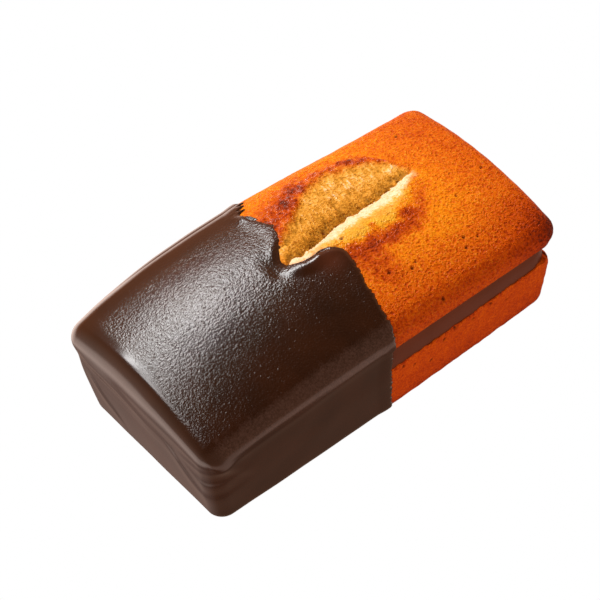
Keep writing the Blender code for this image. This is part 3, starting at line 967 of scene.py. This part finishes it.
def dome_and_painted_sheen(box, points, on_top, nose, to_edge):
    """Where the coat is grainy, and where a painted sheen pales its front shoulder, each from 0 to 1."""
    strip = 0.0012 + 0.0026 * ease(-0.0150, 0.0060, box[:, 1])
    dome = ease(strip, strip + 0.0020, box[:, 0] + HALF[0]) * on_top
    ragged = 0.0008 * grain(points * (1.0, 0.35, 1.0), 0.0007, 36) + 0.0006 * grain(points, 0.0030, 37)
    off_front = box[:, 1] + HALF[1] + ragged
    dome *= ease(0.0016, 0.0034, off_front)
    in_front = np.where(points[:, 1] < 0.0, 1.0, 0.0)
    # Painted sheen: the front shoulder below the dome is paled where it would catch light
    painted_sheen = ease(0.0034, 0.0016, off_front) * in_front * ease(0.0205, 0.0225, points[:, 2])
    painted_sheen *= ease(-0.0402, -0.0372, points[:, 0])
    dome *= 1.0 - 0.85 * ease(HALF[1] - 0.0080, HALF[1] - 0.0040, box[:, 1])
    dome *= 1.0 - 0.8 * nose * (1.0 - ease(0.0020, 0.0050, to_edge))
    return dome, painted_sheen


def coat_relief(box, points, on_top, to_edge, dome, lump):
    """The coat's creases and unevenness, its crisp front corner, and the low forms round its notch."""
    x, y, z = points.T
    relief = coat_ridges(points) * (1.0 - on_top)
    relief += 0.00005 * grain(points, 0.0060, 33)
    relief += dome * 0.00003 * grain(points, 0.00042, 34)
    over_end = (box[:, 0] + HALF[0]) - (RIM_HEIGHT - box[:, 2])
    corner_rise = 0.00026 * bell(over_end, -0.0001, 0.0018)
    relief += corner_rise * ease(0.002, -0.012, y) * ease(-0.0300, -0.0380, x)
    valley = bell(y, 0.0012, 0.0028) * ease(-0.0105, -0.0062, x)
    valley *= 0.35 + 0.65 * ease(0.0002, 0.0014, to_edge)
    relief -= NOTCH_SINK * valley * on_top
    relief -= NOTCH_SINK * bell(y, 0.0050, 0.0042) * ease(0.0026, 0.0, to_edge) * on_top
    relief += 0.00035 * bell(box[:, 1], 0.0148, 0.0012) * ease(0.0030, 0.0, to_edge) * on_top
    relief += NOSE_LUMP * lump
    relief += 0.00018 * bell(np.hypot(x + 0.0003, y + 0.0022), 0.0, 0.0010) * on_top
    return relief


def lip_faces(faces, box, inner_box):
    """Faces along the coat's edge, between the outer surface and the inner one that is numbered after it."""
    inner_rim = {}
    for i, (x, y, z) in enumerate(inner_box):
        if x == 0.0:
            inner_rim[round(y, 7), round(z, 7)] = i + len(box)
    made = []
    for face in faces:
        ends = [i for i in face if box[i, 0] == 0.0]
        if len(ends) == 2:
            place = [face.index(i) for i in ends]
            first, second = ends if (place[1] - place[0]) % 4 == 1 else ends[::-1]
            far = [inner_rim[round(box[i, 1], 7), round(box[i, 2], 7)] for i in (first, second)]
            made.append([second, first, far[0], far[1]])
    return made


def coating():
    """The dark coat, with its grainy dome, its creased sides and its ragged rounded lip."""
    xs = spaced(-HALF[0], 0.0, COAT_STEP)
    ys = spaced(-HALF[1], -0.0030, COAT_STEP) + spaced(-0.0029, 0.0009, 0.00008)
    ys += spaced(0.0011, 0.0160, COAT_STEP) + spaced(0.0161, 0.0208, 0.00011)
    ys += spaced(0.0210, HALF[1], COAT_STEP)
    zs = spaced(0.0, RIM_HEIGHT, 0.00024)
    box, faces = box_grid(xs, ys, zs, left_out=("right",))
    points = coat_block(box)
    on_top = ease(RIM_HEIGHT - 0.0006, RIM_HEIGHT, box[:, 2])
    nose = bell(box[:, 1], -0.0034, 0.0030) * on_top
    to_edge = in_from_edge(box, points)
    dome, painted_sheen = dome_and_painted_sheen(box, points, on_top, nose, to_edge)
    lump = bell(np.hypot(points[:, 0] - 0.0012, points[:, 1] + 0.0042), 0.0, 0.0030) * on_top
    relief = coat_relief(box, points, on_top, to_edge, dome, lump)
    outer = points + outward(points, faces) * (lip_height(to_edge, nose) + relief)[:, None]

    inner_xs = spaced(-HALF[0], -HIDDEN_STEP, HIDDEN_STEP) + spaced(-0.0030, 0.0, 0.0010)
    inner_box, inner_faces = box_grid(inner_xs, ys, zs, left_out=("right",))
    inner = coat_block(inner_box)
    depth = EDGE_DEPTH + (COAT_THICKNESS - COAT_PROUD - EDGE_DEPTH) * ease(0.0, 0.003, -inner_box[:, 0])
    inner = inner - outward(inner, inner_faces) * depth[:, None]

    turned = [[i + len(outer) for i in reversed(face)] for face in inner_faces]
    all_faces = faces + turned + lip_faces(faces, box, inner_box)
    all_points = np.concatenate((outer, inner))
    # A warm reddish reflection is painted over the lump on its nose
    marks = {"pebbly": dome, "painted_sheen": painted_sheen, "painted_reflection": lump}
    marks = {name: np.concatenate((values, np.zeros(len(inner)))) for name, values in marks.items()}
    piece_of("chocolate", all_points, all_faces, "coating", "dark_chocolate", coat_look(), **marks)


# Studio

def aimed(obj, azimuth, elevation, roll, distance, at):
    """Places obj at a distance from at, the azimuth turning from the back towards the right, and aims it
    there, rolled about its own axis."""
    turn, tilt = math.radians(azimuth), math.radians(elevation)
    away = Vector((math.sin(turn) * math.cos(tilt), math.cos(turn) * math.cos(tilt), math.sin(tilt)))
    obj.location = Vector(at) + away * distance
    own_axis = Quaternion((0.0, 0.0, 1.0), math.radians(roll))
    obj.rotation_euler = (away.to_track_quat("Z", "Y") @ own_axis).to_euler()


def soft_light(name, azimuth, elevation, roll, distance, width, height, power, in_gloss=True):
    """A rectangular studio light."""
    data = bpy.data.lights.new(name, "AREA")
    data.shape = "RECTANGLE"
    data.size = width
    data.size_y = height
    data.energy = power
    light = bpy.data.objects.new(name, data)
    bpy.context.scene.collection.objects.link(light)
    aimed(light, azimuth, elevation, roll, distance, (0.0, 0.0, 0.015))
    light.visible_glossy = in_gloss
    return light


def backdrop():
    """A white surround that only the camera sees, as the photograph's plain ground."""
    mesh = bpy.data.meshes.new("backdrop")
    draft = bmesh.new()
    bmesh.ops.create_uvsphere(draft, u_segments=48, v_segments=24, radius=8.0)
    draft.to_mesh(mesh)
    draft.free()
    look = bpy.data.materials.new("white_ground")
    look.use_nodes = True
    tree = look.node_tree
    glow = add(tree, "ShaderNodeEmission", {"Color": (1.0, 1.0, 1.0, 1.0), "Strength": 1.0})
    tree.links.new(glow.outputs[0], tree.nodes["Material Output"].inputs["Surface"])
    mesh.materials.append(look)
    ground = bpy.data.objects.new("backdrop", mesh)
    bpy.context.scene.collection.objects.link(ground)
    for kind in ("diffuse", "glossy", "transmission", "volume_scatter", "shadow"):
        setattr(ground, "visible_" + kind, False)


def dot_with(tree, vector, direction):
    """How much the vector points along the direction."""
    settings = {0: vector, 1: direction}
    return add(tree, "ShaderNodeVectorMath", settings, operation="DOT_PRODUCT").outputs["Value"]


# The surroundings' colours by height, at each side
FRONT_WALL = ((0.0, (0.66, 0.37, 0.25)), (0.66, (0.44, 0.24, 0.16)), (0.88, (0.02, 0.02, 0.02)))
LEFT_WALL = ((0.0, (1.10, 0.76, 0.62)), (0.35, (0.90, 0.58, 0.44)), (0.80, (0.22, 0.13, 0.09)))
BACK_WALL = ((0.0, (0.85, 0.31, 0.15)), (0.50, (0.60, 0.24, 0.13)), (0.80, (0.02, 0.02, 0.02)))


def room():
    """Warm surroundings: a table, a pale stretch at the left, a brown one at the back and a dark ceiling."""
    world = bpy.data.worlds.new("room")
    world.use_nodes = True
    tree = world.node_tree
    place = add(tree, "ShaderNodeTexCoord").outputs["Generated"]
    up = add(tree, "ShaderNodeSeparateXYZ", {"Vector": place}).outputs["Z"]
    at_left = eased(tree, dot_with(tree, place, (-0.75, 0.66, 0.0)), 0.05, 0.55)
    at_back = eased(tree, dot_with(tree, place, (0.60, 0.80, 0.0)), 0.15, 0.75)
    under = mixed(tree, at_left, (0.25, 0.15, 0.105), (0.44, 0.31, 0.265))
    far = mixed(tree, at_left, (1.40, 0.90, 0.72), (2.90, 2.24, 1.96))
    table = mixed(tree, eased(tree, up, -0.80, -0.50), under, far)
    front = ramp_of(tree, up, FRONT_WALL)
    left = ramp_of(tree, up, LEFT_WALL)
    back = ramp_of(tree, up, BACK_WALL)
    walls = mixed(tree, at_back, mixed(tree, at_left, front, left), back)
    above = eased(tree, up, -0.20, 0.02)
    tree.links.new(mixed(tree, above, table, walls), tree.nodes["Background"].inputs["Color"])
    bpy.context.scene.world = world


def studio():
    """The backdrop, the lights and the surroundings."""
    backdrop()
    soft_light("key", 11.0, 47.0, 40.0, 0.9, 0.46, 0.22, 6.0)
    soft_light("left", -32.0, 62.0, 30.0, 0.9, 0.38, 0.20, 2.2)
    soft_light("top", 8.0, 50.0, 0.0, 0.9, 0.40, 0.30, 3.0, in_gloss=False)
    soft_light("fill", -150.0, 40.0, 0.0, 1.2, 0.8, 0.8, 3.0, in_gloss=False)
    room()
    bpy.context.scene.view_settings.view_transform = "Standard"


# The photograph's viewpoint: azimuth, elevation and roll in degrees, distance, target, and lens in mm
VIEW_ANGLES = (-33.705, 49.945, -6.953)
VIEW_DISTANCE = 0.632695
VIEW_TARGET = (0.005036, 0.012507, 0.0)
VIEW_LENS = 196.06


def camera():
    """The photograph's viewpoint."""
    azimuth, elevation, roll = (math.radians(angle) for angle in VIEW_ANGLES)
    level = math.cos(elevation)
    back = Vector((math.sin(azimuth) * level, -math.cos(azimuth) * level, math.sin(elevation)))
    right = Vector((math.cos(azimuth), math.sin(azimuth), 0.0))
    up = back.cross(right)
    turned_right = math.cos(roll) * right + math.sin(roll) * up
    turned_up = math.cos(roll) * up - math.sin(roll) * right
    data = bpy.data.cameras.new("camera")
    data.lens = VIEW_LENS
    data.sensor_width = 36.0
    data.clip_start = 0.05
    data.clip_end = 20.0
    view = bpy.data.objects.new("camera", data)
    bpy.context.scene.collection.objects.link(view)
    matrix = Matrix((turned_right, turned_up, back)).transposed().to_4x4()
    matrix.translation = Vector(VIEW_TARGET) + back * VIEW_DISTANCE
    view.matrix_world = matrix
    bpy.context.scene.camera = view


camera()
cake_base()
filling()
cake_top()
coating()
studio()
